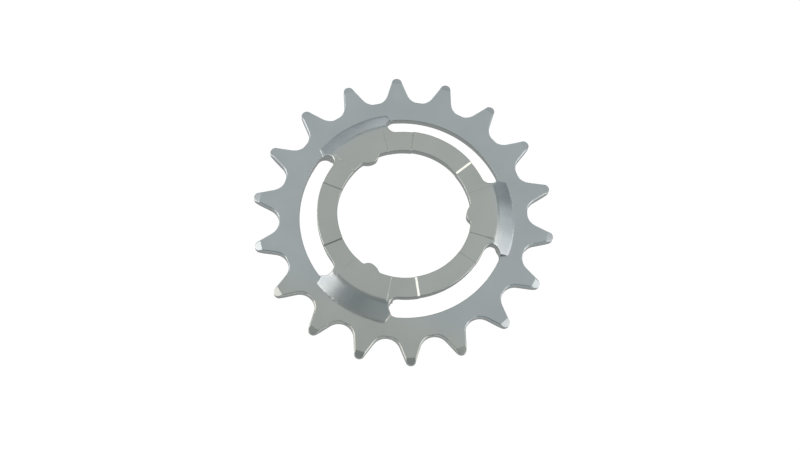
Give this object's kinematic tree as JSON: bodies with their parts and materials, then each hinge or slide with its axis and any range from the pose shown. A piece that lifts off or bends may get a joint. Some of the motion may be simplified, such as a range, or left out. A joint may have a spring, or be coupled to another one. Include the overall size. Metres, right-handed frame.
{
  "type": "bicycle sprocket",
  "caption": "Ring of chain teeth joined by dished spokes, between arc slots, to a raised hub ring whose lugged bore drives a bicycle hub.",
  "frame": {"origin": "on the sprocket's axis, level with the toothed ring's back face, on which it lies", "axes": "+Z along the axis, from the toothed ring's back towards the raised hub ring; +X through the middle of one spoke and its lug"},
  "size_m": [0.0786, 0.0792, 0.0058],
  "materials": {
    "zinc_plated_steel": "satin zinc plating"
  },
  "bodies": {
    "root": {"sprocket": "zinc_plated_steel"}
  },
  "joints": []
}
